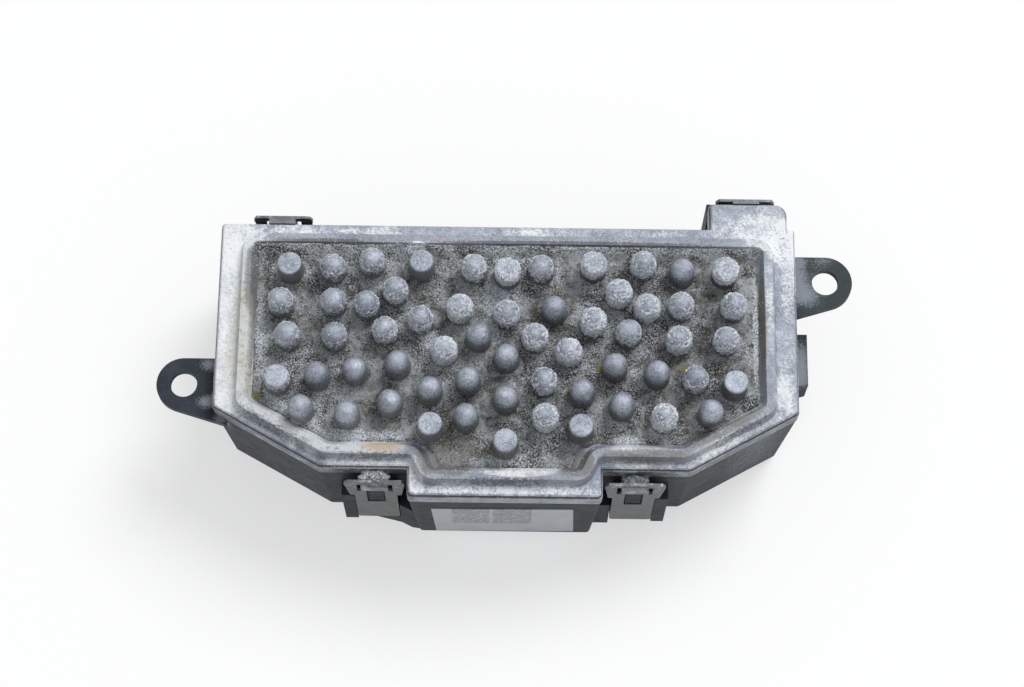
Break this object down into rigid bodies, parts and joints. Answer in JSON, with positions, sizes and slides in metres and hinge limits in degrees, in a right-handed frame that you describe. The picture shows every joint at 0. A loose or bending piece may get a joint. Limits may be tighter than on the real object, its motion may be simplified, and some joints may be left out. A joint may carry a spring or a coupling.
{
  "type": "blower motor resistor",
  "caption": "Electronic blower speed regulator: cast heatsink plate with round cooling pins and raised lip, clipped by spring clips onto a tapered plastic housing with two screw ears.",
  "frame": {"origin": "midway between the axes of the two screw holes in the ears, on the ears' seating face (their pin-side face)", "axes": "+Z towards the cooling pins, along the screw holes; +X to the right, along the long side; +Y to the back edge, where the tab stands out"},
  "size_m": [0.1306, 0.0602, 0.0365],
  "materials": {
    "cast_aluminium": "die cast, dull, with white corrosion",
    "housing_plastic": "moulded, matt, dark grey",
    "gasket": "matt",
    "clip_steel": "dull zinc",
    "spring_steel": "bare",
    "steel_screw": "zinc plated",
    "board": "solder mask",
    "component_black": "moulded",
    "pad_silicone": "soft",
    "resistance_strip": "bare strip",
    "capacitor_sleeve": "shrunk sleeve",
    "ferrite": "pressed ferrite",
    "copper_wire": "enamelled",
    "contact_tin": "tinned",
    "label_film": "plain film"
  },
  "bodies": {
    "root": {"heatsink": "cast_aluminium", "housing": "housing_plastic", "seal": "gasket", "clip_front_left": "clip_steel", "clip_front_right": "clip_steel", "clip_back_left": "clip_steel", "clip_back_right": "clip_steel", "circuit_board": "board", "board_screws": "steel_screw", "transistor_left": "component_black", "transistor_right": "component_black", "thermal_pad_left": "pad_silicone", "thermal_pad_right": "pad_silicone", "transistor_clamp": "spring_steel", "clamp_screw": "steel_screw", "freewheel_diode": "component_black", "shunt_resistor": "resistance_strip", "control_chip": "component_black", "filter_capacitor_left": "capacitor_sleeve", "filter_capacitor_right": "capacitor_sleeve", "choke_core": "ferrite", "choke_winding": "copper_wire", "supply_blade_left": "contact_tin", "supply_blade_right": "contact_tin", "motor_blade_left": "contact_tin", "motor_blade_right": "contact_tin", "signal_pin_left": "contact_tin", "signal_pin_middle": "contact_tin", "signal_pin_right": "contact_tin", "label": "label_film"}
  },
  "joints": []
}
